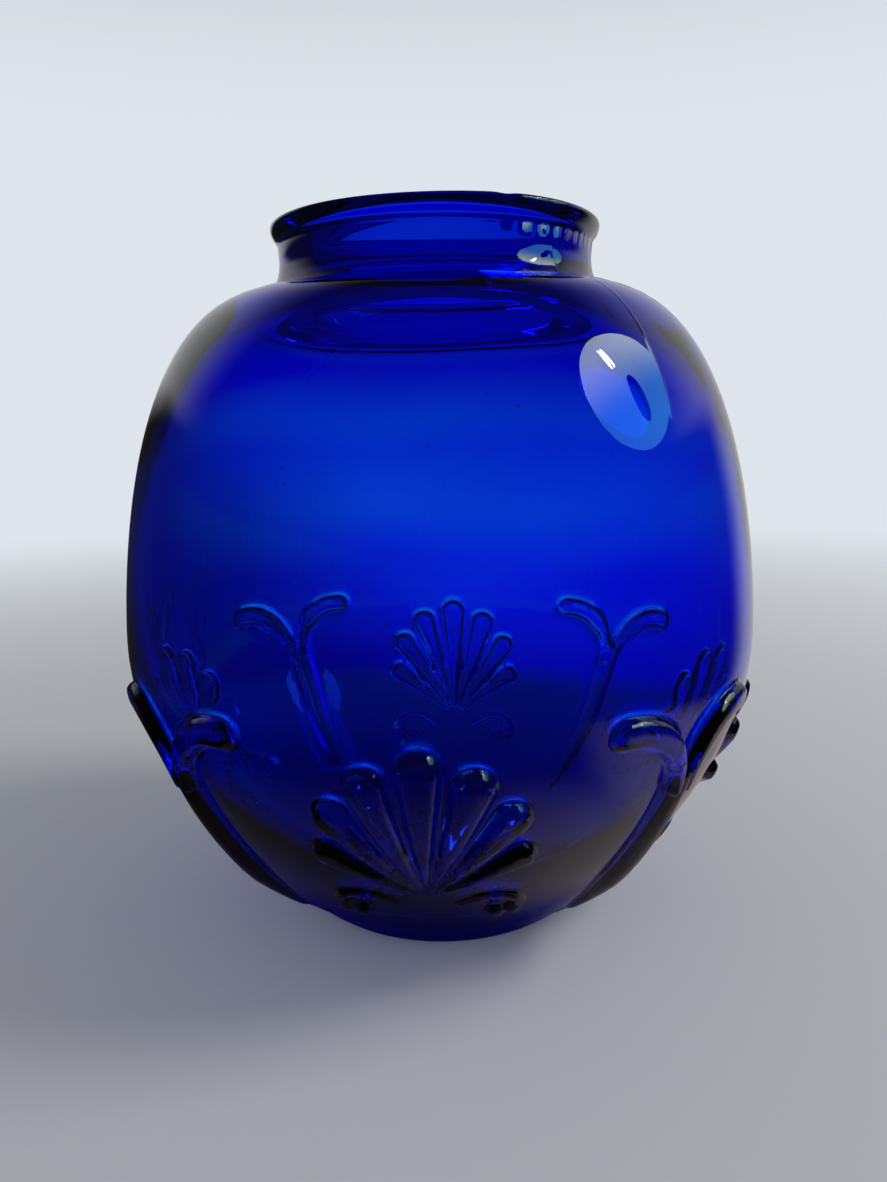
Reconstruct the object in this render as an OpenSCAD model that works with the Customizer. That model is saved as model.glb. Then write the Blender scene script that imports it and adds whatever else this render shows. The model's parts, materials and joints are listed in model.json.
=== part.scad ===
// Wide-mouthed cobalt glass bottle with raised palmettes and scrolls.
// The glass is mould blown in one piece. It is modelled as the parts that a glass maker names:
// foot, bowl, belly, shoulder, neck and lip, and the raised ornaments that lie on the bowl.
// The origin is the middle of the foot's resting plane, +Z is up and the front palmette faces -Y.

/* [Bowl] */
// Outer diameter at the widest line of the body
body_d = 192; // [180:1:220]
// Height of the widest line above the table
belly_h = 89; // [80:1:105]
// Glass thickness of the bowl and the belly, and of the shoulder where it joins the belly
wall = 3.2; // [2:0.1:5]
// Length over which the bowl is drawn upright below the widest line
bowl_rise = 47; // [30:1:55]

/* [Foot] */
// Diameter of the flat ring that the bottle stands on, at its outer edge
foot_d = 82; // [66:1:92]
// Width of that flat ring
foot_ring_w = 9; // [4:0.5:14]
// Height of the hollow under the foot, at its middle
kick_h = 3; // [0.5:0.1:6]
// Glass thickness in the middle of the foot
floor_t = 6.5; // [4:0.1:10]
// Length over which the heel stays nearly flat outside the foot
heel_reach = 4; // [2:0.5:12]

/* [Shoulder] */
// Height of the neck's root above the table
shoulder_h = 189; // [170:1:230]
// Length over which the shoulder is drawn upright above the widest line
shoulder_rise = 10; // [4:1:40]
// Length over which the shoulder flattens out towards the neck
shoulder_reach = 43.5; // [30:0.5:47]
// Drop of the shoulder over that length
shoulder_drop = 0.5; // [0.5:0.5:12]
// Stretching of the shoulder's inside into its bend, which keeps the glass there thin
shoulder_stretch = 1.7; // [0:0.1:2]

/* [Neck] */
// Bore of the neck, which a stopper enters
bore_d = 73; // [60:0.5:80]
// Glass thickness of the neck at its waist
neck_wall = 9.8; // [5:0.1:14]
// Extra radius of the neck at its root
root_flare = 3.2; // [0.5:0.1:4]
// Height of the neck, from its root to the underside of the lip
neck_h = 13.5; // [8:0.5:24]

/* [Lip] */
// Height of the lip
lip_h = 5.6; // [4:0.1:10]
// Overhang of the lip past the neck's waist
lip_flare = 2.7; // [1.5:0.1:6]
// Overhang of the lip's bore past the neck's bore
mouth_flare = 2.4; // [1:0.1:4]
// Radius of the rim's rounded edges
rim_round = 1.2; // [0.4:0.1:1.6]

/* [Palmettes] */
// Distance up the bowl, from the foot, at which a palmette's petals meet
palmette_start = 45.5; // [40:0.5:52]
// Lengths of the petals from the meeting point: the middle one, then outwards
petal_len = [52, 49, 43.5, 34.5]; // [28:0.5:58]
// Angle between one petal and the next
petal_step = 17; // [14:0.5:18]
// Share of that angle that a petal fills, next to a groove
petal_fill = 0.77; // [0.5:0.01:0.9]
// Distance from the meeting point at which the petals begin to stand out
petal_root = 10; // [6:0.5:14]
// Height of the petals above the bowl, near their tips
petal_relief = 3.2; // [1:0.1:4]
// Length of the curl that lies below the petals on each side
curl_len = 23.5; // [18:0.5:28]
// Width of the curl at its tip
curl_w = 5.2; // [3:0.1:6]
// Angle between the last petal and the root of the curl
curl_step = 20; // [18:1:26]
// Angle through which the curl droops towards its tip
curl_droop = 20; // [0:1:24]

/* [Scrolls] */
// Distance up the bowl, from the foot, at which a scroll leaves its stem and begins to hook over
hook_start = 77; // [66:0.5:84]
// Radius of the middle line of the hook
hook_r = 20; // [14:0.1:22]
// Width of the scroll's band at the end of the hook
band_w = 8; // [5:0.1:9]
// Width of half the stem where the hook begins
stem_top_w = 4.4; // [3:0.1:5]
// Width of half the stem where it begins at the heel
stem_w = 2.8; // [2:0.1:4]
// Distance up the bowl, from the foot, at which the stem begins
stem_start = 14; // [10:0.5:20]
// Distance up the bowl, from the foot, at which the stem has its full height
stem_full = 40; // [30:0.5:50]
// Height of the stem's ridge above the bowl
stem_relief = 3.8; // [1:0.1:5]
// Height of the hooks above the bowl
hook_relief = 2.8; // [1:0.1:4]

/* [Hidden] */

// Glass colours: the thick foot and the ornaments look darker than the thin wall
thin_glass = "royalblue";
deep_glass = "mediumblue";
dark_glass = "navy";

// Clearance under and between the raised ornaments
seat_gap = 0.05;
// Height of an ornament's edge, where it rises from the bowl
edge_relief = 0.5;
// Share of the relief that is left where a petal or a stem begins
root_relief = 0.35;

// Number of straight steps in each curve of the outline
curve_steps = 24;
// Steps of the bowl's curve that belong to the foot
foot_steps = 2;
// Steps of the shoulder's curve that belong to the belly
belly_steps = 10;

body_r = body_d / 2;
foot_r = foot_d / 2;
bore_r = bore_d / 2;
waist_r = bore_r + neck_wall;
root_r = waist_r + root_flare;
lip_r = waist_r + lip_flare;
lip_start = lip_flare / 4;
mouth_r = bore_r + mouth_flare;
neck_top = shoulder_h + neck_h;
lip_top = neck_top + lip_h;
floor_h = kick_h + floor_t;

// A point on the cubic curve through control points p, at t from 0 to 1
function curve_point(p, t) =
    pow(1 - t, 3) * p[0] + 3 * pow(1 - t, 2) * t * p[1] + 3 * (1 - t) * pow(t, 2) * p[2] + pow(t, 3) * p[3];

// The curve's points from step a to step b, in order of travel
function curve_points(p, a = 0, b = curve_steps) =
    [for (i = [a : b]) curve_point(p, i / curve_steps)];

function reversed(list) = [for (i = [len(list) - 1 : -1 : 0]) list[i]];

// The bowl's outline: it leaves the foot flat and reaches the widest line upright
function bowl_curve(r_low, z_low, r_high) = [
    [r_low, z_low],
    [r_low + heel_reach, z_low],
    [r_high, belly_h - bowl_rise],
    [r_high, belly_h]
];
bowl_outer = bowl_curve(foot_r, 0, body_r);
bowl_inner = bowl_curve(foot_r - wall, floor_h, body_r - wall);

// The shoulder's outline: it leaves the widest line upright and flattens out towards the neck
function shoulder_curve(r_low, r_high, rise, reach, drop, under) = [
    [r_low, belly_h],
    [r_low, belly_h + rise],
    [r_high + reach, shoulder_h - drop],
    [r_high, shoulder_h - under]
];
shoulder_outer = shoulder_curve(body_r, root_r, shoulder_rise, shoulder_reach, shoulder_drop, 0);
// The glass is thin as far as the shoulder's bend and grows thicker from there to the neck
shoulder_inner = shoulder_curve(
    body_r - wall,
    bore_r + root_flare,
    shoulder_rise + shoulder_stretch,
    shoulder_reach + neck_wall - wall + shoulder_stretch,
    wall + shoulder_drop,
    wall
);

// The outline from the foot up, with the distance walked along it to each point
outline = concat(curve_points(bowl_outer), curve_points(shoulder_outer, 1));
outline_end = len(outline) - 1;
walked = [
    for (
        i = 0, s = 0;
        i <= outline_end;
        i = i + 1, s = s + norm(outline[min(i, outline_end)] - outline[i - 1])
    )
        s
];
radius_at = [for (i = [0 : outline_end]) [walked[i], outline[i][0]]];
height_at = [for (i = [0 : outline_end]) [walked[i], outline[i][1]]];

// The distance over which the outline's direction is measured
walk_step = 0.5;

// The outline's outward direction at distance s along it
function outward(s) =
    let (
        dr = lookup(s + walk_step, radius_at) - lookup(s - walk_step, radius_at),
        dz = lookup(s + walk_step, height_at) - lookup(s - walk_step, height_at)
    )
    [dz, -dr] / norm([dz, dr]);

// The point that lies x sideways and s upwards along the outline, raised by lift; x = 0 faces -Y
function on_bowl(x, s, lift) =
    let (
        r = lookup(s, radius_at),
        out = outward(s),
        a = x / r * 180 / PI,
        reach = r + lift * out[0]
    )
    [reach * sin(a), -reach * cos(a), lookup(s, height_at) + lift * out[1]];

// The height of an ornament's back, from 0 at its edges to 1 at the peak; v runs from -1 to 1 across it
function back(v, peak) =
    sqrt(max(0, 1 - pow((v - peak) / (v < peak ? 1 + peak : 1 - peak), 2)));

// Places across an ornament: five on its back and two on its seat, besides its two edges
back_steps = 6;
seat_steps = 3;

// One closed section across an ornament, from edge a to edge b, both [x, s] on the bowl
function ornament_ring(a, b, relief, peak) = concat(
    [
        for (i = [0 : back_steps])
            let (v = -cos(180 * i / back_steps), p = (a * (1 - v) + b * (1 + v)) / 2)
            on_bowl(p[0], p[1], seat_gap + edge_relief + max(0, relief - edge_relief) * back(v, peak))
    ],
    [
        for (i = [seat_steps : -1 : 0])
            let (p = a + (b - a) * i / seat_steps)
            on_bowl(p[0], p[1], seat_gap)
    ]
);

// A closed solid through a list of sections with the same number of points
module skin(rings) {
    n = len(rings[0]);
    last = len(rings) - 1;
    points = [for (ring = rings) each ring];
    sides = [
        for (k = [0 : last - 1])
            for (i = [0 : n - 1])
                let (j = (i + 1) % n)
                [k * n + i, k * n + j, (k + 1) * n + j, (k + 1) * n + i]
    ];
    start = [[for (i = [n - 1 : -1 : 0]) i]];
    end = [[for (i = [0 : n - 1]) last * n + i]];
    polyhedron(points, concat(sides, start, end), convexity = 4);
}

// Steps from a petal's root to the centre of its round tip, and the places around that tip
petal_body_steps = 6;
petal_tip_angles = [25, 50, 75];

// The edge of a petal at distance d from the meeting point, w to one side of its middle line
function petal_edge(angle, d, w) =
    [sin(angle) * d + cos(angle) * w, palmette_start + cos(angle) * d - sin(angle) * w];

function petal_ring(angle, d, w, relief) =
    ornament_ring(petal_edge(angle, d, -w), petal_edge(angle, d, w), relief, 0);

// One petal: it widens evenly from its root and ends in a round, raised tip of radius tip_r;
// its middle line turns by droop on the way, and side is -1 for a mirrored one
module petal(angle, length, tip_r, droop = 0, side = 1) {
    tip_centre = length - tip_r;
    body_rings = [
        for (i = [0 : petal_body_steps])
            let (
                d = petal_root + (tip_centre - petal_root) * i / petal_body_steps,
                share = d / tip_centre,
                turn = side * (angle + droop * i / petal_body_steps)
            )
            petal_ring(turn, d, tip_r * share, petal_relief * (root_relief + (1 - root_relief) * share))
    ];
    tip_rings = [
        for (a = petal_tip_angles)
            petal_ring(
                side * (angle + droop),
                tip_centre + tip_r * sin(a),
                tip_r * cos(a),
                petal_relief * pow(cos(a), 0.5)
            )
    ];
    skin(concat(body_rings, tip_rings));
}

// Seven petals and two curls fanned out from one point; turn is the palmette's direction
module palmette(turn) {
    spread = petal_fill * tan(petal_step / 2);
    last = len(petal_len) - 1;
    color(dark_glass)
        rotate([0, 0, turn]) {
            for (i = [-last : last]) {
                length = petal_len[abs(i)];
                petal(i * petal_step, length, length * spread / (1 + spread));
            }
            for (side = [-1, 1])
                petal(last * petal_step + curl_step, curl_len, curl_w / 2, curl_droop, side);
        }
}

// Steps up a scroll's stem and around its hook, and the places around its blunt end
stem_steps = 7;
hook_steps = 9;
hook_end_angles = [35, 70];

// The hook's middle line turns about this point, which keeps the scroll clear of its twin
hook_x = hook_r + stem_top_w / 2 + seat_gap;

function hook_point(turn, r) = [hook_x - r * cos(turn), hook_start + r * sin(turn)];

// A hook's section at a turn about its centre; w is half the band's width and ahead moves it on
function hook_ring(turn, w, relief, peak, ahead = [0, 0]) =
    ornament_ring(hook_point(turn, hook_r + w) + ahead, hook_point(turn, hook_r - w) + ahead, relief, peak);

// One scroll: half of the stem that it shares with its twin, then a hook that leans away from the twin;
// the ridge lies along the joint of the twin stems and moves to the band's middle in the hook
module scroll() {
    stem_rings = [
        for (i = [0 : stem_steps - 1])
            let (
                share = i / stem_steps,
                s = stem_start + (hook_start - stem_start) * share,
                w = stem_w + (stem_top_w - stem_w) * share,
                grown = min(1, (s - stem_start) / (stem_full - stem_start))
            )
            ornament_ring(
                [seat_gap, s],
                [seat_gap + w, s],
                stem_relief * (root_relief + (1 - root_relief) * grown),
                -1
            )
    ];
    hook_rings = [
        for (i = [0 : hook_steps])
            let (share = i / hook_steps)
            hook_ring(
                90 * share,
                (stem_top_w + (band_w - stem_top_w) * pow(min(1, 2 * share), 2)) / 2,
                stem_relief + (hook_relief - stem_relief) * share,
                min(0, 2 * share - 1)
            )
    ];
    end_rings = [
        for (a = hook_end_angles)
            hook_ring(
                90,
                band_w / 2 * pow(cos(a), 0.5),
                hook_relief * pow(cos(a), 0.5),
                0,
                [band_w / 3 * sin(a), 0]
            )
    ];
    skin(concat(stem_rings, hook_rings, end_rings));
}

// Two scrolls that share a stem and turn away from each other
module scroll_pair(turn) {
    color(deep_glass)
        rotate([0, 0, turn]) {
            scroll();
            mirror([1, 0, 0])
                scroll();
        }
}

// A turned solid whose outline is a list of [radius, height] points
module turned(outline) {
    rotate_extrude($fn = 180)
        polygon(outline);
}

// The thick foot, with a shallow hollow below and the rounded heel outside
module foot() {
    hollow_r = foot_r - foot_ring_w;
    hollow = [
        for (i = [0 : curve_steps / 2])
            let (a = 180 * i / curve_steps)
            [hollow_r * sin(a), kick_h * cos(a)]
    ];
    color(dark_glass)
        turned(concat(
            hollow,
            curve_points(bowl_outer, 0, foot_steps),
            reversed(curve_points(bowl_inner, 0, foot_steps)),
            [[0, floor_h]]
        ));
}

// The bowl, from the heel to the widest line
module bowl() {
    color(thin_glass)
        turned(concat(
            curve_points(bowl_outer, foot_steps),
            reversed(curve_points(bowl_inner, foot_steps))
        ));
}

// The belly, from the widest line to where the shoulder begins to close in
module belly() {
    color(thin_glass)
        turned(concat(
            curve_points(shoulder_outer, 0, belly_steps),
            reversed(curve_points(shoulder_inner, 0, belly_steps))
        ));
}

// The shoulder, from the belly to the neck's root
module shoulder() {
    color(thin_glass)
        turned(concat(
            curve_points(shoulder_outer, belly_steps),
            [[bore_r, shoulder_h]],
            reversed(curve_points(shoulder_inner, belly_steps))
        ));
}

// The neck, a thick ring with a slight waist outside and a straight bore inside
module neck() {
    waist_curve = [
        [root_r, shoulder_h],
        [waist_r, shoulder_h + neck_h / 4],
        [waist_r, neck_top - neck_h / 3],
        [waist_r + lip_start, neck_top]
    ];
    color(thin_glass)
        turned(concat(curve_points(waist_curve), [[bore_r, neck_top], [bore_r, shoulder_h]]));
}

// Angles of the points on the rim's rounded edges
rim_angles = [30, 60, 90];

// The lip, flared outside and inside, with a flat ground rim between rounded edges
module lip() {
    flare = [
        [waist_r + lip_start, neck_top],
        [waist_r + 2 * lip_start, neck_top + lip_h / 4],
        [lip_r, neck_top + lip_h / 3],
        [lip_r, lip_top - rim_round]
    ];
    rim_outer = [
        for (a = rim_angles)
            [lip_r - rim_round * (1 - cos(a)), lip_top - rim_round * (1 - sin(a))]
    ];
    rim_inner = [
        for (a = reversed(rim_angles))
            [mouth_r + rim_round * (1 - cos(a)), lip_top - rim_round * (1 - sin(a))]
    ];
    mouth = [
        [mouth_r, lip_top - rim_round],
        [mouth_r, neck_top + lip_h / 2],
        [bore_r, neck_top + lip_h / 3],
        [bore_r, neck_top]
    ];
    color(deep_glass)
        turned(concat(curve_points(flare), rim_outer, rim_inner, curve_points(mouth)));
}

foot();
bowl();
belly();
shoulder();
neck();
lip();
palmette(0);  // palmette_front
palmette(90);  // palmette_right
palmette(180);  // palmette_back
palmette(270);  // palmette_left
scroll_pair(45);  // scrolls_front_right
scroll_pair(135);  // scrolls_back_right
scroll_pair(225);  // scrolls_back_left
scroll_pair(315);  // scrolls_front_left
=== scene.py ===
"""Wide-mouthed cobalt glass bottle with raised palmettes and forked scrolls.

The glass is one continuous skin: the outside, the rim, the inside and the underside of one outline
that is turned about the axis, with the moulded ornament raised from it. Distances are in metres.
On the wall a place is (angle, t): the angle from -Y towards +X, and the distance t walked along the
outline. The ornaments are drawn in flat (x, s) coordinates: x is sideways on the wall, and s is the
distance up the outside from the foot.
"""

import json
import math

import bmesh
import bpy
import numpy as np
from mathutils import Matrix, Vector, geometry


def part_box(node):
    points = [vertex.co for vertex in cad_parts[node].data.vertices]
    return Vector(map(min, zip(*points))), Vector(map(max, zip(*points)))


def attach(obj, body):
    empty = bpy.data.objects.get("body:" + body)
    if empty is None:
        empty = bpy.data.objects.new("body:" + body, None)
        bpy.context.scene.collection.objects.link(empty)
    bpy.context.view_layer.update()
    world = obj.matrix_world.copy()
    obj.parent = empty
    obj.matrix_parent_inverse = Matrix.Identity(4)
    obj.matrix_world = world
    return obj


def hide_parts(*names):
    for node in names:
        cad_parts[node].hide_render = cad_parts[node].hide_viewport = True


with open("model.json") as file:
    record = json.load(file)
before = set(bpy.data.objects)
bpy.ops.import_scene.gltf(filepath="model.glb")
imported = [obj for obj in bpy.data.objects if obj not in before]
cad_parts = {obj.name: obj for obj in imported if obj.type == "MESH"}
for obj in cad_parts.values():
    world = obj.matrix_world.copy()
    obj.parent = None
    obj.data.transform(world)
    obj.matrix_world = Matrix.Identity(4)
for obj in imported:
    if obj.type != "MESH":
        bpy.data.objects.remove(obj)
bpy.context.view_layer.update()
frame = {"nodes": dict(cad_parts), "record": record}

mm = 0.001
rng = np.random.default_rng(7)

# ---------------------------------------------------------------- sizes

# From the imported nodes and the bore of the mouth
body_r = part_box("belly")[1].x
belly_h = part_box("belly")[0].z
shoulder_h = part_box("shoulder")[1].z
neck_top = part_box("lip")[0].z
lip_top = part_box("lip")[1].z
lip_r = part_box("lip")[1].y
root_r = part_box("neck")[1].y
bore_r = frame["record"]["mounts"][0]["dims"]["r_mm"] * mm

# The outline's other sizes, as in the construction
wall = 3.2 * mm
bowl_rise = 47 * mm
foot_r = 41 * mm
foot_ring_w = 9 * mm
kick_h = 3 * mm
floor_t = 6.5 * mm
heel_reach = 4 * mm
shoulder_rise = 10 * mm
shoulder_reach = 43.5 * mm
shoulder_drop = 0.5 * mm
shoulder_stretch = 1.7 * mm
neck_wall = 9.8 * mm
mouth_flare = 2.4 * mm
rim_round = 1.2 * mm
waist_r = bore_r + neck_wall
mouth_r = bore_r + mouth_flare
lip_start = (lip_r - waist_r) / 4
neck_h = neck_top - shoulder_h
lip_h = lip_top - neck_top
floor_h = kick_h + floor_t

# The palmettes. Their petals begin at petal_root from the point where they meet, with petal_root_relief
# of their relief; in the construction they begin further out
palmette_start = 45.5 * mm
petal_len = [52 * mm, 49 * mm, 43.5 * mm, 34.5 * mm]
petal_step = math.radians(17)
petal_fill = 0.77
petal_relief = 3.2 * mm
petal_root = 4 * mm
petal_root_relief = 0.2

# The curl below the petals, with its shares of width and relief at the root, and the eye that it ends
# over. The spines are (x, s) in millimetres
volute_spine = [(8.5, 42), (14, 45.6), (19, 46), (22.6, 44.2), (23.8, 41), (22, 38)]
volute_w = 2.3 * mm
volute_relief = 2.4 * mm
volute_root_w = 0.6
volute_root_relief = 0.4
eye_spine = [(17.2, 37.4), (17.8, 37.2)]
eye_r = 2.3 * mm

# The scrolls: a stem that forks into two hooks. stem_w and stem_top_w are widths of half the stem, and
# hook_turn is in degrees
hook_start = 77 * mm
hook_r = 20 * mm
hook_turn = 95
hook_half = 4 * mm
hook_relief = 2.8 * mm
stem_top_w = 4.4 * mm
stem_w = 2.8 * mm
stem_start = 14 * mm
stem_full = 40 * mm
stem_past_fork = 3 * mm
stem_relief = 3.8 * mm
stem_root_relief = 0.15

# The ornament's soft edge outside, its softer one inside, and the share of it that the inside follows
edge_w = 2.1 * mm
inner_edge_w = 4.5 * mm
inner_share = 0.7

# An edge begins outside a band's line and ends inside it, at these shares of its width
edge_out = 0.4
edge_in = 0.8

# The share of the relief in a band's edge, where its back is round and where it is a roof, and how much
# of the roof is straight
round_edge = 0.62
roof_edge = 0.45
roof_straight = 0.75

# No ornament lies outside these distances up the wall, and the mesh's fine patches begin at patch_low
ornament_low = 8 * mm
ornament_high = 106 * mm
patch_low = 11 * mm

# The two seams of the mould, and the stretch of the wall over which they come into sight
seam_h = 0.05 * mm
seam_w = 0.4 * mm
seam_fade = (160 * mm, 190 * mm)

# Below the heel's line the wall steps back a little
heel_line = 19.5 * mm
heel_step = 0.6 * mm
heel_edge_w = 2 * mm
heel_fade = (2 * mm, 12 * mm)

# The unevenness of the outside and the inside, and the stretches of the wall over which it grows. The
# inside's waves are turned against the outside's, and grow from the bore over neck_wobble_fade
outer_wobble = 0.3 * mm
outer_wobble_fade = (20 * mm, 90 * mm)
inner_wobble = 0.45 * mm
inner_wobble_fade = (10 * mm, 60 * mm)
inner_wobble_turn = 1.3
neck_wobble_fade = 40 * mm

# The worn top of the rim, and a small chip on its near side
wear_half = 2.2 * mm
wear_depth = 0.15 * mm
chip_angle = math.radians(25.7)
chip_half = 2 * mm
chip_depth = 0.8 * mm

# The line that the tool left under the lip. It is scalloped near rough_angle: rough_fade is the cosine of
# the turn from there at which the scallops end, and the one at which they are full. scallop_count is for
# a whole turn, and scallop_shift makes them uneven
tool_line = 200.8 * mm
tool_line_half = 0.4 * mm
tool_line_h = 0.12 * mm
rough_angle = math.radians(52)
rough_fade = (0.85, 0.95)
scallop_count = 68
scallop_shift = 2

# Seeds in the glass: their number, their smallest and largest radius in millimetres, and how far they
# stay from the foot and from the neck's root
seed_count = 36
seed_r = (0.12, 0.4)
seeds_above_foot = 110 * mm
seeds_below_neck = 8 * mm

# The radius of the ring round the mesh's middle, below and on the floor, and the longest steps between rows
cap_r = 2 * mm
plain_rows = 5 * mm
shoulder_rows = 3.5 * mm

# For the ornament's patches outside and inside: the distances inside a band's edge at which lines of
# points run, the spacing on them and the spacing away from them
outer_insets = [-1.1 * mm, -0.5 * mm, 0, 0.4 * mm, 0.9 * mm, 1.5 * mm, 2.4 * mm]
outer_spacing = (0.95 * mm, 2.4 * mm)
inner_insets = [-1.5 * mm, 0.2 * mm, 1.6 * mm, 3.2 * mm]
inner_spacing = (1.8 * mm, 2.8 * mm)

# Four palmettes and four pairs of scrolls take turns round the bottle
quarter = math.pi / 2
seam_angle = quarter / 2

# ---------------------------------------------------------------- outline


def cubic(p, steps=120):
    """Points on the cubic curve through control points p."""
    t = np.linspace(0, 1, steps + 1)[:, None]
    p = np.array(p)
    return (1 - t) ** 3 * p[0] + 3 * (1 - t) ** 2 * t * p[1] + 3 * (1 - t) * t**2 * p[2] + t**3 * p[3]


def arc(r, z, radius_r, radius_z, start, end, steps=24):
    """Points on an elliptical arc about (r, z), from one angle to another in degrees."""
    a = np.radians(np.linspace(start, end, steps + 1))
    return np.stack([r + radius_r * np.cos(a), z + radius_z * np.sin(a)], axis=1)


def walked(points):
    """The distance walked along a polyline to each of its points."""
    return np.concatenate([[0], np.cumsum(np.linalg.norm(np.diff(points, axis=0), axis=1))])


def bowl_curve(r_low, z_low, r_high):
    return cubic([
        (r_low, z_low),
        (r_low + heel_reach, z_low),
        (r_high, belly_h - bowl_rise),
        (r_high, belly_h),
    ])


def shoulder_curve(r_low, r_high, rise, reach, drop, under):
    return cubic([
        (r_low, belly_h),
        (r_low, belly_h + rise),
        (r_high + reach, shoulder_h - drop),
        (r_high, shoulder_h - under),
    ])


outer_wall = np.concatenate([
    bowl_curve(foot_r, 0, body_r),
    shoulder_curve(body_r, root_r, shoulder_rise, shoulder_reach, shoulder_drop, 0)[1:],
])
outer_s = walked(outer_wall)
inner_wall = np.concatenate([
    bowl_curve(foot_r - wall, floor_h, body_r - wall),
    shoulder_curve(
        body_r - wall,
        bore_r + root_r - waist_r,
        shoulder_rise + shoulder_stretch,
        shoulder_reach + neck_wall - wall + shoulder_stretch,
        wall + shoulder_drop,
        wall,
    )[1:],
])
under_foot = np.concatenate([arc(0, 0, foot_r - foot_ring_w, kick_h, 90, 0), [(foot_r, 0)]])
collar = np.concatenate([
    cubic([(root_r, shoulder_h), (waist_r, shoulder_h + neck_h / 4), (waist_r, neck_top - neck_h / 3),
           (waist_r + lip_start, neck_top)]),
    cubic([(waist_r + lip_start, neck_top), (waist_r + 2 * lip_start, neck_top + lip_h / 4),
           (lip_r, neck_top + lip_h / 3), (lip_r, lip_top - rim_round)])[1:],
    arc(lip_r - rim_round, lip_top - rim_round, rim_round, rim_round, 0, 90),
    arc(mouth_r + rim_round, lip_top - rim_round, rim_round, rim_round, 90, 180),
    cubic([(mouth_r, lip_top - rim_round), (mouth_r, neck_top + lip_h / 2), (bore_r, neck_top + lip_h / 3),
           (bore_r, neck_top)])[1:],
    [(bore_r, shoulder_h)],
])


class Outline:
    """The whole outline, from the middle of the underside over the rim to the middle of the floor."""

    step = 0.25 * mm
    soften = 0.5 * mm
    same_place = 1e-9

    def __init__(self):
        parts = [under_foot, outer_wall, collar, inner_wall[::-1], [(0, floor_h)]]
        points = np.concatenate([np.array(part, float) for part in parts])
        gaps = np.linalg.norm(np.diff(points, axis=0), axis=1)
        points = points[np.concatenate([[True], gaps > self.same_place])]
        along = walked(points)
        self.t = np.arange(0, along[-1], self.step)
        self.points = self.softened(np.stack([np.interp(self.t, along, c) for c in points.T], axis=1))
        tangent = np.gradient(self.points, self.t, axis=0)
        tangent /= np.linalg.norm(tangent, axis=1)[:, None]
        self.normals = np.stack([tangent[:, 1], -tangent[:, 0]], axis=1)
        self.outside_from = walked(under_foot)[-1]
        self.outside_to = self.outside_from + outer_s[-1]
        self.rim = self.t[self.points[:, 1].argmax()]
        self.inside_from = self.outside_to + walked(collar)[-1]
        self.s = self.distance_up_the_outside()

    def softened(self, points):
        """The points with every corner rounded, as molten glass rounds it."""
        reach = round(3 * self.soften / self.step)
        weight = np.exp(-0.5 * (np.arange(-reach, reach + 1) * self.step / self.soften) ** 2)
        weight /= weight.sum()
        before = points[reach:0:-1] * (-1, 1)
        after = points[-2:-reach - 2:-1] * (-1, 1)
        longer = np.concatenate([before, points, after])
        return np.stack([np.convolve(c, weight, "valid") for c in longer.T], axis=1)

    def distance_up_the_outside(self):
        """For each point, s of the nearest point of the outer wall; under the foot it is negative."""
        every = 4
        nearest = np.array([
            outer_s[((outer_wall - p) ** 2).sum(axis=1).argmin()] for p in self.points[::every]
        ])
        past_the_wall = np.interp(self.t, self.t[::every], nearest)
        return np.where(self.t <= self.outside_to, self.t - self.outside_from, past_the_wall)

    def at(self, t):
        """Radius, height, the normal's two parts and s at distance t."""
        columns = (*self.points.T, *self.normals.T, self.s)
        return [np.interp(t, self.t, column) for column in columns]

    def inside_t(self, s):
        """Where on the inside the wall lies behind distance s up the outside."""
        inside = self.t > self.inside_from
        order = np.argsort(self.s[inside], kind="stable")
        return np.interp(s, self.s[inside][order], self.t[inside][order])


outline = Outline()


def radius_at(s):
    """Radius of the plain outer wall at distance s."""
    return np.interp(s, outer_s, outer_wall[:, 0])


# ---------------------------------------------------------------- ornament, in flat (x, s) coordinates


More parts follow.
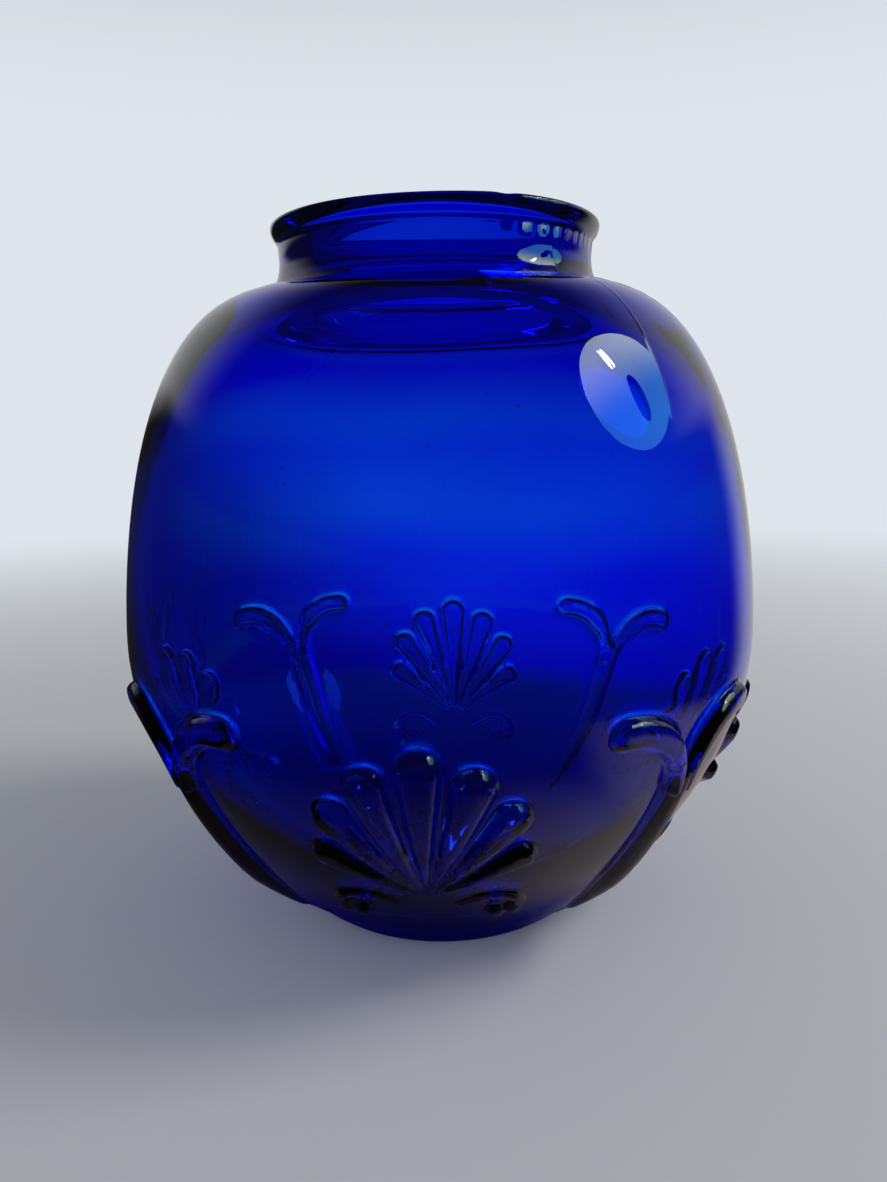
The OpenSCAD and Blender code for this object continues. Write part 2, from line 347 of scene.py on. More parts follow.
class Band:
    """A raised band along a spine: points, half widths and reliefs, with a round end at each tip.

    Its back is round, or a roof with a ridge.
    """

    def __init__(self, spine, half, relief, roof=False):
        self.spine = np.array(spine, float)
        self.half = np.broadcast_to(np.array(half, float), len(self.spine)).copy()
        self.relief = np.broadcast_to(np.array(relief, float), len(self.spine)).copy()
        self.roof = roof

    def depth(self, x, s):
        """How far a place lies inside the band's edge, the half width there, and the relief there."""
        best = np.full(x.shape, -1.0)
        half, relief = np.full(x.shape, 1.0), np.zeros(x.shape)
        for i in range(len(self.spine) - 1):
            (ax, ay), (bx, by) = self.spine[i], self.spine[i + 1]
            dx, dy = bx - ax, by - ay
            share = np.clip(((x - ax) * dx + (s - ay) * dy) / (dx * dx + dy * dy), 0, 1)
            far = np.hypot(x - ax - share * dx, s - ay - share * dy)
            w = self.half[i] + share * (self.half[i + 1] - self.half[i])
            nearer = w - far > best
            best = np.where(nearer, w - far, best)
            half = np.where(nearer, w, half)
            relief_here = self.relief[i] + share * (self.relief[i + 1] - self.relief[i])
            relief = np.where(nearer, relief_here, relief)
        return best, half, relief

    def edge_points(self, inset, spacing):
        """Points all round the band, at a distance inside its edge."""
        out = []
        along = walked(self.spine)
        count = max(2, int(along[-1] / spacing) + 1)
        at = np.linspace(0, along[-1], count)
        centre = np.stack([np.interp(at, along, c) for c in self.spine.T], axis=1)
        w = np.interp(at, along, self.half) - inset
        way = np.gradient(centre, axis=0)
        way /= np.linalg.norm(way, axis=1)[:, None]
        side = np.stack([-way[:, 1], way[:, 0]], axis=1)
        keep = w > 0
        for sign in (1, -1):
            out.append((centre + sign * side * w[:, None])[keep])
        for end, forward in ((0, -1), (-1, 1)):
            if w[end] <= 0:
                continue
            turns = max(3, int(math.pi * w[end] / spacing))
            a = np.linspace(0, math.pi, turns + 1)[1:-1, None]
            out.append(centre[end] + w[end] * (np.cos(a) * side[end] + np.sin(a) * forward * way[end]))
        return np.concatenate(out)

    def middle_points(self, spacing):
        """Points along the spine."""
        along = walked(self.spine)
        at = np.arange(0, along[-1], spacing)
        return np.stack([np.interp(at, along, c) for c in self.spine.T], axis=1)


def petals():
    """The petals of the right half of a palmette, the middle one first."""
    spread = petal_fill * math.tan(petal_step / 2)
    made = []
    for i, length in enumerate(petal_len):
        way = np.array([math.sin(i * petal_step), math.cos(i * petal_step)])
        tip_r = length * spread / (1 + spread)
        centre = length - tip_r
        shares = np.linspace(petal_root / centre, 1, 6)
        made.append(Band(
            [(0, palmette_start) + way * centre * share for share in shares],
            tip_r * shares,
            petal_relief * (petal_root_relief + (1 - petal_root_relief) * shares),
        ))
    return made


def volute():
    """The curl below the petals: it runs outwards, turns down and ends over a round eye."""
    count = len(volute_spine)
    return Band(
        np.array(volute_spine) * mm,
        volute_w * np.linspace(volute_root_w, 1, count),
        volute_relief * np.linspace(volute_root_relief, 1, count),
    )


def eye():
    return Band(np.array(eye_spine) * mm, eye_r, volute_relief)


def hook():
    """The right one of a pair of hooks, from the fork of the stem to its blunt end."""
    turns = np.radians(np.linspace(0, hook_turn, 14))
    share = np.linspace(0, 1, len(turns))
    width = stem_top_w / 2 + (hook_half - stem_top_w / 2) * np.minimum(1, 2 * share) ** 2
    centre_x = hook_r + stem_top_w / 2
    spine = np.stack([centre_x - hook_r * np.cos(turns), hook_start + hook_r * np.sin(turns)], axis=1)
    return Band(spine, width, stem_relief + (hook_relief - stem_relief) * share)


def stem():
    """The stem of a pair of hooks, which grows wider and higher on its way up."""
    heights = np.linspace(stem_start, hook_start + stem_past_fork, 12)
    share = (heights - stem_start) / (hook_start - stem_start)
    grown = np.minimum(1, (heights - stem_start) / (stem_full - stem_start))
    return Band(
        np.stack([0 * heights, heights], axis=1),
        stem_w + (stem_top_w - stem_w) * share,
        stem_relief * (stem_root_relief + (1 - stem_root_relief) * grown),
        roof=True,
    )


palmette_bands = [*petals(), volute(), eye()]
scroll_bands = [stem(), hook()]


def smooth_step(x, low, high):
    """0 below low, 1 above high, and a smooth change between them."""
    x = np.clip((x - low) / (high - low), 0, 1)
    return x * x * (3 - 2 * x)


def raised(bands, x, s, soft):
    """Height of the bands above the wall; soft is the width of a band's edge."""
    height = np.zeros(x.shape)
    for band in bands:
        depth, half, relief = band.depth(x, s)
        side = smooth_step(depth, -edge_out * soft, edge_in * soft)
        back = np.clip(depth / half, 0, 1)
        arched = 1 - (1 - back) ** 2
        if band.roof:
            ridged = roof_straight * back + (1 - roof_straight) * arched
            shape = roof_edge * side + (1 - roof_edge) * ridged
        else:
            shape = round_edge * side + (1 - round_edge) * np.sqrt(arched)
        height = np.maximum(height, relief * np.minimum(shape, side))
    return height


def wobble(angle, z, size):
    """A gentle unevenness of hand-worked glass, the same at angle 0 and after a whole turn.

    Each wave has a share of the size, a number of crests in a turn, a lean with the height and a start.
    """
    waves = [(0.5, 2, 24, 0.7), (0.3, 3, -41, 2.1), (0.2, 5, 63, 4.0)]
    return size * sum(
        share * np.sin(crests * angle + lean * z + start) for share, crests, lean, start in waves
    )


def folded(angle):
    """The angle from the middle of the nearest palmette, as a positive number up to half a quarter."""
    return np.abs(angle - quarter * np.round(angle / quarter))


def ornament(angle, s, soft):
    """Height of the moulded ornament at a place on the wall."""
    r = radius_at(s)
    a = folded(angle)
    near = (s > ornament_low) & (s < ornament_high)
    height = np.zeros(np.shape(s))
    if near.any():
        height[near] = np.maximum(
            raised(palmette_bands, (a * r)[near], s[near], soft),
            raised(scroll_bands, ((quarter / 2 - a) * r)[near], s[near], soft),
        )
    return height


def lift(angle, t):
    """How far the surface stands off the plain outline at a place.

    Away from the ornament the outside only goes inwards, so that it stays inside the solids.
    """
    r, z, _, _, s = outline.at(t)
    outside = (t > outline.outside_from) & (t < outline.rim)
    inside = t > outline.inside_from

    out = ornament(angle, s, edge_w)
    below_heel = 1 - smooth_step(s, heel_line - heel_edge_w, heel_line)
    out -= heel_step * below_heel * smooth_step(s, *heel_fade)
    off_seam = (angle - seam_angle + math.pi / 2) % math.pi - math.pi / 2
    seam = np.exp(-((off_seam * r / seam_w) ** 2))
    below_rim = 1 - smooth_step(t, outline.outside_to, outline.rim)
    out += seam_h * seam * smooth_step(s, *seam_fade) * below_rim
    out += (wobble(angle, z, outer_wobble) - outer_wobble) * smooth_step(s, *outer_wobble_fade)

    uneven = wobble(angle + inner_wobble_turn, z, inner_wobble)
    uneven *= smooth_step(t, outline.inside_from, outline.inside_from + neck_wobble_fade)
    uneven *= smooth_step(s, *inner_wobble_fade)
    into = -inner_share * ornament(angle, s, inner_edge_w) + uneven
    return np.where(outside, out, np.where(inside, into, 0.0)) + rim_wear(angle, t)


def rim_wear(angle, t):
    """The worn rim with its one chip, and the scalloped line of the tool under the lip."""
    z = outline.at(t)[1]
    on_rim = np.exp(-(((t - outline.rim) / wear_half) ** 2))
    on_line = np.exp(-(((z - tool_line) / tool_line_half) ** 2)) * (t < outline.rim)
    scallops = np.abs(np.sin(scallop_count / 2 * angle + scallop_shift * np.sin(5 * angle)))
    flake = np.exp(-(((angle - chip_angle) * lip_r / chip_half) ** 2))
    rough = smooth_step(np.cos(angle - rough_angle), *rough_fade)
    marks = tool_line_h * on_line * (1 - rough + 2 * rough * scallops)
    worn = wear_depth * (1 + np.sin(2 * angle)) / 2 + chip_depth * flake
    return marks - worn * on_rim


def place(angle, t):
    """The surface's points at these angles and distances."""
    r, z, out_r, out_z, _ = outline.at(t)
    h = lift(angle, t)
    reach = r + out_r * h
    return np.stack([reach * np.sin(angle), -reach * np.cos(angle), z + out_z * h], axis=-1)


def normal(angle, t):
    """The surface's outward directions at these places, from the places a small reach away."""
    reach = 0.08 * mm
    least_r = 1 * mm
    turn = reach / np.maximum(outline.at(t)[0], least_r)
    across = place(angle + turn, t) - place(angle - turn, t)
    along = place(angle, t + reach) - place(angle, t - reach)
    n = np.cross(across, along)
    least_length = 1e-12
    return n / np.maximum(np.linalg.norm(n, axis=-1), least_length)[..., None]


# ---------------------------------------------------------------- mesh


class Skin:
    """Collects the places and faces of the glass; a place that is named twice becomes one vertex."""

    keys_per_turn = 1000000
    keys_per_metre = 1e7

    def __init__(self):
        self.index = {}
        self.places = []
        self.faces = []

    def vertex(self, angle, t):
        """The number of the vertex at a place."""
        turn_key = round(angle / math.tau * self.keys_per_turn) % self.keys_per_turn
        key = (turn_key, round(t * self.keys_per_metre))
        if key not in self.index:
            self.index[key] = len(self.places)
            self.places.append((angle, t))
        return self.index[key]

    def ring(self, t):
        """The vertices all round the glass at distance t."""
        return [self.vertex(angle, t) for angle in columns]

    def rows(self, ts):
        """Quads between the rings at distances ts."""
        rings = [self.ring(t) for t in ts]
        for low, high in zip(rings, rings[1:]):
            for i in range(len(columns)):
                j = (i + 1) % len(columns)
                self.faces.append((low[i], low[j], high[j], high[i]))

    def cap(self, ring_t, middle_t):
        """Triangles from a ring to the point on the axis."""
        ring = self.ring(ring_t)
        middle = self.vertex(0, middle_t)
        for here, there in zip(ring, ring[1:] + ring[:1]):
            self.faces.append((middle, there, here) if ring_t > middle_t else (middle, here, there))

    def patch(self, points, triangles, to_t, inside):
        """Triangles of one quarter, whose points are (angle, s), laid on the wall four times."""
        for turn in range(4):
            ids = [self.vertex(angle + turn * quarter, to_t(s)) for angle, s in points]
            for a, b, c in triangles:
                self.faces.append((ids[a], ids[c], ids[b]) if inside else (ids[a], ids[b], ids[c]))


# Angles of the mesh's columns: even, but closer together at the ends of each quarter, as the seams of the
# mould lie at two of these ends
columns_per_quarter = 60
column_step = quarter / columns_per_quarter
half_columns = [column_step * k for k in range(columns_per_quarter // 2)]
half_columns += [quarter / 2 - column_step * share for share in (0.5, 0.2, 0)]
quarter_columns = [-angle for angle in half_columns[:0:-1]] + half_columns
columns = sorted((angle + turn * quarter) % math.tau for turn in range(4) for angle in quarter_columns[1:])


def rows_between(start, end, longest, finest=0.35 * mm, turn=math.radians(7)):
    """Distances between start and end, closer together where the outline bends."""
    looked_at_every = 0.1 * mm
    ts = [start]
    fine = np.arange(start, end, looked_at_every)
    _, _, out_r, out_z, _ = outline.at(fine)
    way = np.unwrap(np.arctan2(out_z, out_r))
    last = 0
    for i in range(1, len(fine)):
        gone = fine[i] - fine[last]
        if gone >= longest or (gone >= finest and abs(way[i] - way[last]) >= turn):
            ts.append(fine[i])
            last = i
    if end - ts[-1] < finest and len(ts) > 1:
        ts.pop()
    return [*ts, end]


# Points that lie closer than these shares of their spacing are left out. side_gap is the share of such a
# gap that they keep from the patch's sides, and the lattice's lines lie lattice_rise of its spacing apart
least_gap = 0.42
lattice_gap = 0.5
side_gap = 0.7
lattice_rise = 0.87

# Settings of the triangulation: it keeps what lies inside the border, and joins points this close, in mm
inside_only = 1
same_point = 1e-6


def quarter_mesh(insets, spacing, coarse):
    """The points, as (angle, s), and the triangles of the wall round one palmette.

    Lines of points follow each ornament's edges, and a lattice of equal triangles fills the rest.
    """
    half = quarter / 2
    steps = round((ornament_high - patch_low) / spacing)
    side_s = [patch_low + (ornament_high - patch_low) * i / steps for i in range(steps + 1)]
    border = [(a, patch_low) for a in quarter_columns]
    border += [(half, s) for s in side_s[1:]]
    border += [(a, ornament_high) for a in quarter_columns[-2::-1]]
    border += [(-half, s) for s in side_s[-2:0:-1]]

    wanted = []
    for bands, middle in ((palmette_bands, 0), (scroll_bands, half)):
        for band in bands:
            for inset in insets:
                p = band.edge_points(inset, spacing)
                wanted += [(side * (middle - x / radius_at(s)), s) for x, s in p for side in (-1, 1)]
            for x, s in band.middle_points(spacing):
                wanted += [(side * (middle - x / radius_at(s)), s) for side in (-1, 1)]
    fine = sift(border, wanted, least_gap * spacing)
    across = round(half * radius_at(ornament_high) / coarse)
    lattice = [
        (half * (i + 0.5 * (k % 2)) / across, s)
        for k, s in enumerate(np.arange(patch_low + coarse / 2, ornament_high, lattice_rise * coarse))
        for i in range(-across, across + 1)
    ]
    points = [*border, *fine, *sift([*border, *fine], lattice, lattice_gap * coarse)]
    flat = [Vector((a * radius_at(s) / mm, s / mm)) for a, s in points]
    outer_edge = [list(range(len(border)))]
    flat_mesh = geometry.delaunay_2d_cdt(flat, [], outer_edge, inside_only, same_point)
    triangles, from_points = flat_mesh[2:4]
    if len(from_points) != len(points):
        raise ValueError("the flat mesh of a quarter lost or gained points")
    made = []
    for a, b, c in triangles:
        ab, ac = flat[b] - flat[a], flat[c] - flat[a]
        made.append((a, b, c) if ab.x * ac.y > ab.y * ac.x else (a, c, b))
    return points, made


def sift(kept, candidates, gap):
    """The candidates inside the quarter that lie a gap or more from the kept points and from each other."""
    cells = {}

    def crowded(x, s):
        column, line = int(x // gap), int(s // gap)
        near = [q for i in (-1, 0, 1) for j in (-1, 0, 1) for q in cells.get((column + i, line + j), ())]
        return any((x - q[0]) ** 2 + (s - q[1]) ** 2 < gap * gap for q in near)

    def keep(x, s):
        cells.setdefault((int(x // gap), int(s // gap)), []).append((x, s))

    for angle, s in kept:
        keep(angle * radius_at(s), s)
    out = []
    for angle, s in candidates:
        x = angle * radius_at(s)
        inside = abs(x) < quarter / 2 * radius_at(s) - side_gap * gap
        if inside and patch_low + gap < s < ornament_high - gap and not crowded(x, s):
            out.append((angle, s))
            keep(x, s)
    return out


def bubbles():
    """Seeds in the glass: small balls of air in the middle of the wall, whose faces look into the air."""
    count = seed_count
    ball = bmesh.new()
    bmesh.ops.create_icosphere(ball, subdivisions=1, radius=1)
    shape = np.array([v.co for v in ball.verts])
    shape /= np.linalg.norm(shape, axis=1)[:, None]
    faces = [tuple(v.index for v in reversed(f.verts)) for f in ball.faces]
    ball.free()
    angle = rng.uniform(0, math.tau, count)
    t = rng.uniform(outline.outside_from + seeds_above_foot, outline.outside_to - seeds_below_neck, count)
    radius = rng.uniform(*seed_r, count) * mm
    centre = place(angle, t) - normal(angle, t) * wall / 2
    verts = centre[:, None] + radius[:, None, None] * shape
    normals = np.broadcast_to(-shape, verts.shape)
    all_faces = [tuple(i + k * len(shape) for i in face) for k in range(count) for face in faces]
    return verts.reshape(-1, 3), normals.reshape(-1, 3), all_faces


def new_object(name, data):
    """A new object in the scene."""
    made = bpy.data.objects.new(name, data)
    bpy.context.scene.collection.objects.link(made)
    return made


def build_glass():
    """The glass's mesh: the skin with its ornaments, and the seeds in it."""
    skin = Skin()
    end_t = outline.t[-1]
    inner_low, inner_high = outline.inside_t(patch_low), outline.inside_t(ornament_high)

    def outside_t(s):
        return outline.outside_from + s

    skin.cap(cap_r, 0)
    skin.rows(rows_between(cap_r, outside_t(patch_low), plain_rows))
    skin.patch(*quarter_mesh(outer_insets, *outer_spacing), outside_t, inside=False)
    skin.rows(rows_between(outside_t(ornament_high), inner_high, shoulder_rows))
    skin.patch(*quarter_mesh(inner_insets, *inner_spacing), outline.inside_t, inside=True)
    skin.rows(rows_between(inner_low, end_t - cap_r, plain_rows))
    skin.cap(end_t - cap_r, end_t)

    angle, t = np.array(skin.places).T
    seed_verts, seed_normals, seed_faces = bubbles()
    verts = np.concatenate([place(angle, t), seed_verts])
    normals = np.concatenate([normal(angle, t), seed_normals])
    faces = skin.faces + [tuple(i + len(skin.places) for i in face) for face in seed_faces]

    mesh = bpy.data.meshes.new("glass_vessel")
    mesh.from_pydata(verts.tolist(), [], faces)
    mesh.validate()
    mesh.polygons.foreach_set("use_smooth", [True] * len(mesh.polygons))
    mesh.normals_split_custom_set_from_vertices(normals.tolist())
    return new_object("glass_vessel", mesh)


# ---------------------------------------------------------------- material


def empty_tree(owner):
    """The node tree of a material or a world, without any nodes."""
    owner.use_nodes = True
    owner.node_tree.nodes.clear()
    return owner.node_tree


def node(tree, kind, *sources, **values):
    """A new node, with its inputs filled in order by sources and by name by values.

    Each is a number, a colour or another node's output. A name that ends in _ is a setting of the node.
    """
    made = tree.nodes.new(kind)
    inputs = list(zip(made.inputs, sources))
    for name, value in values.items():
        if name.endswith("_"):
            setattr(made, name[:-1], value)
        else:
            inputs.append((made.inputs[name.replace("_", " ")], value))
    for socket, value in inputs:
        if isinstance(value, bpy.types.NodeSocket):
            tree.links.new(value, socket)
        else:
            socket.default_value = value
    return made


def maths(tree, operation, *sources, clamp=False):
    """The result of a math operation on numbers and outputs."""
    return node(tree, "ShaderNodeMath", *sources, operation_=operation, use_clamp_=clamp).outputs["Value"]


def ramp(tree, value, start, end, low, high):
    """A smooth change from low to high while the value goes from start to end."""
    return node(
        tree, "ShaderNodeMapRange", value, From_Min=start, From_Max=end, To_Min=low, To_Max=high,
        interpolation_type_="SMOOTHSTEP",
    ).outputs["Result"]


def mixed(tree, share, first, second):
    """A shader that goes from the first to the second as share goes from 0 to 1."""
    return node(tree, "ShaderNodeMixShader", share, first, second).outputs["Shader"]


def seen_by(tree):
    """Light path outputs: 1 for a ray that glass let through, and 1 for one that glass mirrored."""
    path = node(tree, "ShaderNodeLightPath").outputs
    mirrored = maths(tree, "SUBTRACT", path["Is Reflection Ray"], path["Is Diffuse Ray"], clamp=True)
    return path["Is Transmission Ray"], mirrored


def cobalt_glass():
    """Old cobalt glass: deep blue by its thickness, with a smooth and faintly rippled surface."""
    material = bpy.data.materials.new("cobalt_glass")
    tree = empty_tree(material)
    where = node(tree, "ShaderNodeNewGeometry").outputs["Position"]
    ripple = node(tree, "ShaderNodeTexNoise", Vector=where, Scale=38, Detail=2).outputs["Fac"]
    bump = node(tree, "ShaderNodeBump", Strength=0.25, Distance=0.4 * mm, Height=ripple).outputs["Normal"]
    glass = node(
        tree, "ShaderNodeBsdfPrincipled", Base_Color=(1, 1, 1, 1), Transmission_Weight=1, IOR=1.52,
        Roughness=0, Normal=bump,
    )
    colour = node(tree, "ShaderNodeVolumeAbsorption", Color=(0.02, 0.48, 0.94, 1), Density=940)
    node(tree, "ShaderNodeOutputMaterial", Surface=glass.outputs["BSDF"], Volume=colour.outputs["Volume"])
    return material


glass = build_glass()
glass.data.materials.append(cobalt_glass())
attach(glass, "root")
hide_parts(*sorted(frame["nodes"]))

# ---------------------------------------------------------------- floor, light and camera


def diffuse(tree, colour):
    return node(tree, "ShaderNodeBsdfDiffuse", Color=colour).outputs["BSDF"]


# Distances on the floor from the bottle's axis. What the glass mirrors of the floor has painted light in a
# ring round the foot; outside the painted light it has painted shade, blue close to the foot and dark
# further out
ring_starts = (48 * mm, 70 * mm)
ring_ends = (90 * mm, 160 * mm)
painted_blue_shade_ends = (60 * mm, 100 * mm)

# How bright the ring's painted light is on its left and right, and the shares of that inside it and outside
# it
ring_on_left = 0.26
ring_on_right = 0.9
inside_ring = 0.06
outside_ring = 0.05
ring_turns_right = (0, 60 * mm)

# The painted light reaches the right side too, from this line on, which leans to the left at the back
lit_side = (-20 * mm, 60 * mm)
lit_side_lean = 0.9

# The floor fades out over the near stretch for the glass, and over the far one for the camera and the light
near_fade = (200 * mm, 270 * mm)
far_fade = (150 * mm, 1200 * mm)


def make_floor():
    """A pale floor that fades into the bright surroundings.

    Seen through the glass it is painted in half shade and ends a little way behind the bottle. What the
    glass mirrors of it has painted light on the right and in a ring round the foot, and else painted blue
    or dark shade.
    """
    reach = 3.0
    corners = [(-reach, -reach, 0), (reach, -reach, 0), (reach, reach, 0), (-reach, reach, 0)]
    mesh = bpy.data.meshes.new("floor")
    mesh.from_pydata(corners, [], [(0, 1, 2, 3)])
    floor = new_object("floor", mesh)

    material = bpy.data.materials.new("pale_floor")
    tree = empty_tree(material)
    through, mirrored = seen_by(tree)
    where = node(tree, "ShaderNodeNewGeometry").outputs["Position"]
    away = node(tree, "ShaderNodeVectorMath", where, operation_="LENGTH").outputs["Value"]
    x, y, _ = node(tree, "ShaderNodeSeparateXYZ", where).outputs

    # Painted light on the mirrored floor: a ring round the foot, weaker on its left, and the whole right
    # side
    weaker_on_left = ramp(tree, x, *ring_turns_right, ring_on_left, ring_on_right)
    ring = maths(tree, "MULTIPLY", ramp(tree, away, *ring_ends, 1, outside_ring), weaker_on_left)
    ring = maths(tree, "MULTIPLY", ring, ramp(tree, away, *ring_starts, inside_ring, 1))
    painted_light_on_right = ramp(tree, maths(tree, "MULTIPLY_ADD", y, lit_side_lean, x), *lit_side, 0, 1)
    # Painted shade on the mirrored floor: blue close to the foot and dark further out; the warm colour is
    # the painted light
    blue = diffuse(tree, (0.02, 0.02, 0.5, 1))
    dark = diffuse(tree, (0, 0, 0, 1))
    painted_lit_floor = diffuse(tree, (1, 0.84, 0.8, 1))
    painted_shade = mixed(tree, ramp(tree, away, *painted_blue_shade_ends, 0, 1), blue, dark)
    mirrored_floor = mixed(tree, maths(tree, "MAXIMUM", ring, painted_light_on_right), painted_shade, painted_lit_floor)

    # The floor is evenly pale for the camera; for what the glass lets through it has a painted half shade
    pale = diffuse(tree, (0.92, 0.92, 0.92, 1))
    shaded = diffuse(tree, (0.45, 0.28, 0.4, 1))
    surface = mixed(tree, mirrored, mixed(tree, through, pale, shaded), mirrored_floor)

    for_glass = ramp(tree, away, *near_fade, 0, 1)
    for_camera = ramp(tree, away, *far_fade, 0, 1)
    by_glass = maths(tree, "MAXIMUM", through, mirrored)
    change = maths(tree, "SUBTRACT", for_glass, for_camera)
    fade = maths(tree, "MULTIPLY_ADD", by_glass, change, for_camera)
    clear = node(tree, "ShaderNodeBsdfTransparent").outputs["BSDF"]
    node(tree, "ShaderNodeOutputMaterial", Surface=mixed(tree, fade, surface, clear))
    floor.data.materials.append(material)


def background(tree, colour, strength):
    return node(tree, "ShaderNodeBackground", Color=colour, Strength=strength).outputs["Background"]


# Places in the surroundings are given by the parts of a direction: x to the right, y to the back, and z
# upwards, which is 0 at eye level and 1 overhead. A pair is where a change begins and where it ends
overhead = (0.25, 0.8)
towards_floor = (-0.3, -0.12)
above_level = (0.17, 0.22)
below_level = (-0.18, -0.05)
level_middle = (0.02, 0.12)
left_side = (-0.51, -0.11)
left_side_lean = 0.6
back_starts = (0, 0.4)

# How bright they stay overhead and towards the floor, and how much they are dimmed at the left
overhead_light = 0.15
floorward_light = 0.62
left_dimming = 0.87

# The bright band on each side that the glass mirrors: its light and that of the dark round it, its turn
# away from the back and its soft edge in degrees, and the heights where it widens, begins and ends
band_light = 0.6
dark_light = 0.02
band_turn = 30
band_edge = (9, 27)
band_widens = (0.18, 0.3)
band_low_end = (-0.2, -0.09)
band_low_lean = 0.5
band_high_end = (0.45, 0.85)


def soft_world():
    """Bright surroundings at the height of the bottle, dim overhead.

    Through the glass they are dimmer at the left and towards the floor, and have the most green just
    above eye level, where the glass looks light blue. What the glass mirrors of them is dark but for a
    bright band on each side.
    """
    world = bpy.data.worlds.new("studio")
    bpy.context.scene.world = world
    tree = empty_tree(world)
    through, mirrored = seen_by(tree)
    way = node(tree, "ShaderNodeTexCoord").outputs["Generated"]
    x, y, z = node(tree, "ShaderNodeSeparateXYZ", way).outputs

    by_height = ramp(tree, z, *overhead, 1, overhead_light)
    plain = background(tree, (0.74, 0.78, 0.84, 1), by_height)
    seen_through = behind_glass(tree, x, y, z, by_height)
    seen_mirrored = in_glass(tree, x, y, z)
    surroundings = mixed(tree, mirrored, mixed(tree, through, plain, seen_through), seen_mirrored)
    node(tree, "ShaderNodeOutputWorld", Surface=surroundings)


def behind_glass(tree, x, y, z, by_height):
    """The surroundings that are seen through the glass."""
    by_depth = ramp(tree, z, *towards_floor, floorward_light, 1)
    leftwards = maths(tree, "MULTIPLY_ADD", z, left_side_lean, x)
    to_the_left = ramp(tree, leftwards, *left_side, -left_dimming, 0)
    at_the_back = ramp(tree, y, *back_starts, 0, 1)
    left_shade = maths(tree, "MULTIPLY_ADD", to_the_left, at_the_back, 1)
    strength = maths(tree, "MULTIPLY", maths(tree, "MULTIPLY", by_height, by_depth), left_shade)
    level = background(tree, (0.15, 0.7, 0.9, 1), strength)
    over_level = background(tree, (0.15, 1.8, 0.9, 1), strength)
    above_and_below = background(tree, (0.15, 0.03, 0.9, 1), strength)
    off_level = maths(tree, "MAXIMUM", ramp(tree, z, *above_level, 0, 1), ramp(tree, z, *below_level, 1, 0))
    zone = mixed(tree, ramp(tree, z, *level_middle, 0, 1), level, over_level)
    return mixed(tree, off_level, zone, above_and_below)


def in_glass(tree, x, y, z):
    """The surroundings that the glass mirrors: dark, with a bright band on each side towards the back."""
    turn = maths(tree, "ARCTAN2", maths(tree, "ABSOLUTE", x), y)
    off_band = maths(tree, "ABSOLUTE", maths(tree, "SUBTRACT", turn, math.radians(band_turn)))
    off_band = maths(tree, "MULTIPLY", off_band, ramp(tree, z, *band_widens, 1, 0.5))
    band = ramp(tree, off_band, *[math.radians(edge) for edge in band_edge], band_light, 0)
    band_foot = ramp(tree, maths(tree, "MULTIPLY_ADD", x, band_low_lean, z), *band_low_end, 0, 1)
    band_ends = maths(tree, "MULTIPLY", band_foot, ramp(tree, z, *band_high_end, 1, 0))
    bright = maths(tree, "MULTIPLY_ADD", band, band_ends, dark_light)
    return background(tree, (0.95, 0.97, 1, 1), bright)


# The light and the cards look at the middle of the bottle
target = Vector((0, 0, 0.1))


def around(azimuth, elevation, distance):
    """The place at a direction and distance from the target.

    azimuth and elevation are in degrees, and azimuth runs from -Y towards +X.
    """
    a, e = math.radians(azimuth), math.radians(elevation)
    way = Vector((math.sin(a) * math.cos(e), -math.cos(a) * math.cos(e), math.sin(e)))
    return target + distance * way


def softbox(name, azimuth, elevation, distance, size, power):
    """An oval white light that looks at the target and isn't mirrored by the glass."""
    light = bpy.data.lights.new(name, "AREA")
    light.shape = "ELLIPSE"
    light.size, light.size_y = size
    light.energy = power
    lamp = new_object(name, light)
    lamp.location = around(azimuth, elevation, distance)
    lamp.rotation_euler = (target - lamp.location).to_track_quat("-Z", "Y").to_euler()
    lamp.visible_glossy = False


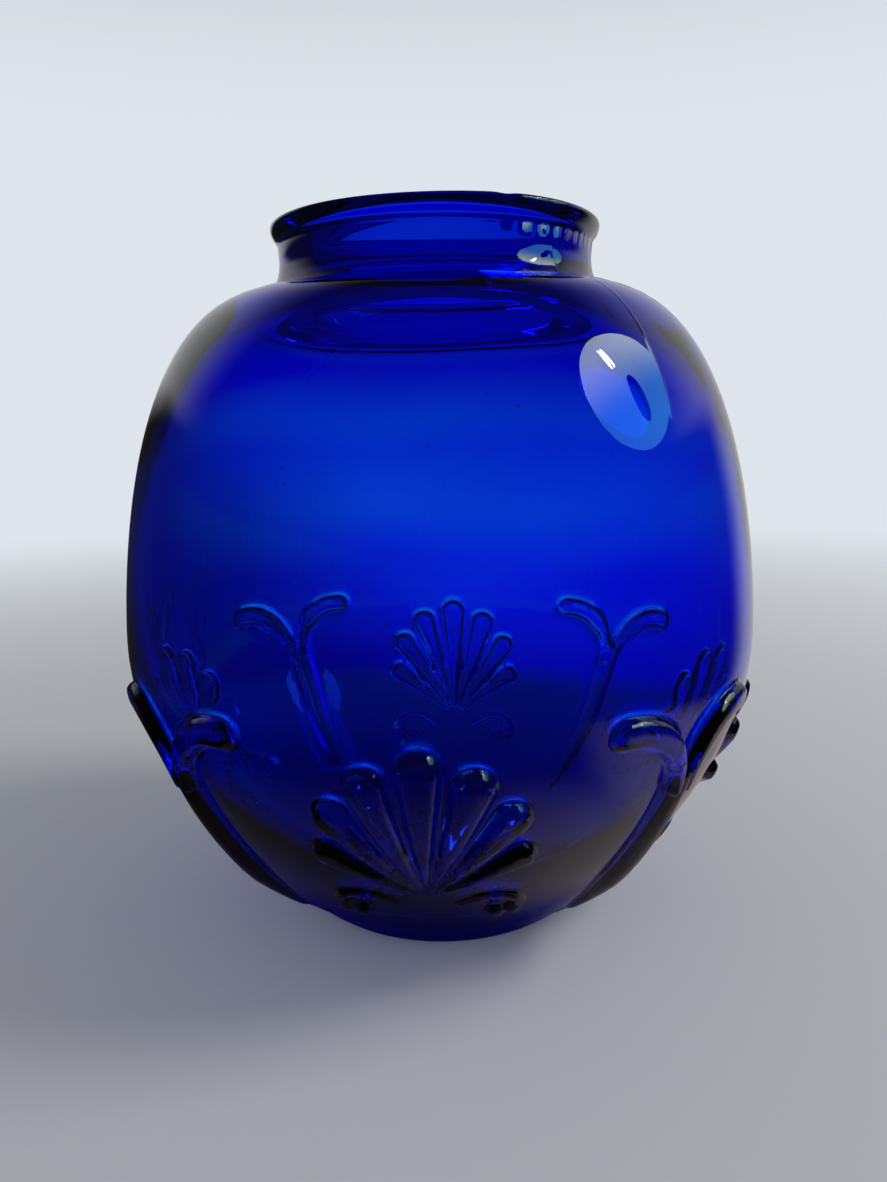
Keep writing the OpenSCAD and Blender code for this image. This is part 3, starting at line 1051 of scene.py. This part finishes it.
def card(name, azimuth, elevation, distance, size, low, high, seen_by_rays="glossy"):
    """An oval card that is only mirrored by the glass, or only seen through it.

    low and high are the light at its bottom and at its top.
    """
    corners = 48
    turns = [math.tau * k / corners for k in range(corners)]
    oval = [(size[0] / 2 * math.cos(a), size[1] / 2 * math.sin(a), 0) for a in turns]
    mesh = bpy.data.meshes.new(name)
    mesh.from_pydata(oval, [], [tuple(range(corners))])
    board = new_object(name, mesh)
    board.location = around(azimuth, elevation, distance)
    board.rotation_euler = (board.location - target).to_track_quat("Z", "Y").to_euler()

    material = bpy.data.materials.new(name)
    tree = empty_tree(material)
    spread = node(tree, "ShaderNodeTexCoord").outputs["Generated"]
    _, up, _ = node(tree, "ShaderNodeSeparateXYZ", spread).outputs
    bottom = node(tree, "ShaderNodeEmission", Color=low, Strength=1).outputs["Emission"]
    top = node(tree, "ShaderNodeEmission", Color=high, Strength=1).outputs["Emission"]
    blended = mixed(tree, ramp(tree, up, 0.3, 0.9, 0, 1), bottom, top)
    node(tree, "ShaderNodeOutputMaterial", Surface=blended)
    mesh.materials.append(material)
    for kind in ("camera", "diffuse", "glossy", "transmission", "shadow"):
        setattr(board, "visible_" + kind, kind == seen_by_rays)


# The photograph's height and the camera's focal length in its pixels, and the camera's place and tilt.
# The place is given before the turn about the bottle's axis
photo_h = 1182
focal_px = 930
camera_turn = math.radians(3.31)
camera_pitch = math.radians(10.17)
camera_roll = math.radians(-0.83)
camera_place = Vector((1.0, -293.4, 150.3)) * mm
sensor_w = 36


def make_camera():
    """The photograph's view: close to the bottle, a little above its shoulder, looking down."""
    turn = Matrix.Rotation(camera_turn, 3, "Z")
    forward = turn @ Vector((0, math.cos(camera_pitch), -math.sin(camera_pitch)))
    right = turn @ Vector((1, 0, 0))
    up = right.cross(forward)
    rolled_right = right * math.cos(camera_roll) + up * math.sin(camera_roll)
    rolled_up = up * math.cos(camera_roll) - right * math.sin(camera_roll)
    axes = Matrix((rolled_right, rolled_up, -forward)).transposed()
    camera = bpy.data.cameras.new("camera")
    camera.sensor_width = sensor_w
    camera.lens = sensor_w * focal_px / photo_h
    camera.clip_start = 10 * mm
    seen = new_object("camera", camera)
    seen.matrix_world = Matrix.Translation(turn @ camera_place) @ axes.to_4x4()
    bpy.context.scene.camera = seen


# Colours of the cards, as strong as their light
window_low = (0.3, 1.6, 2.4, 1)
window_high = (3.9, 4.8, 3, 1)
black = (0, 0, 0, 1)
gap_light = (40, 40, 40, 1)
sunlight = (60, 60, 60, 1)

make_floor()
soft_world()
card("window", 88, 34, 1.2, size=(0.8, 0.62), low=window_low, high=window_high)
card("window_frame", 89.5, 29.5, 1.15, size=(0.11, 0.22), low=black, high=black)
for azimuth in (84.4, 86.2):
    card("window_gap", azimuth, 41.5, 1.15, size=(0.022, 0.13), low=gap_light, high=gap_light)
card("sun", 172, 33, 1.2, size=(0.14, 0.14), low=sunlight, high=sunlight, seen_by_rays="transmission")
softbox("from_right", 88, 40, 1.5, size=(0.6, 0.6), power=6)
make_camera()
bpy.context.scene.view_settings.view_transform = "Standard"
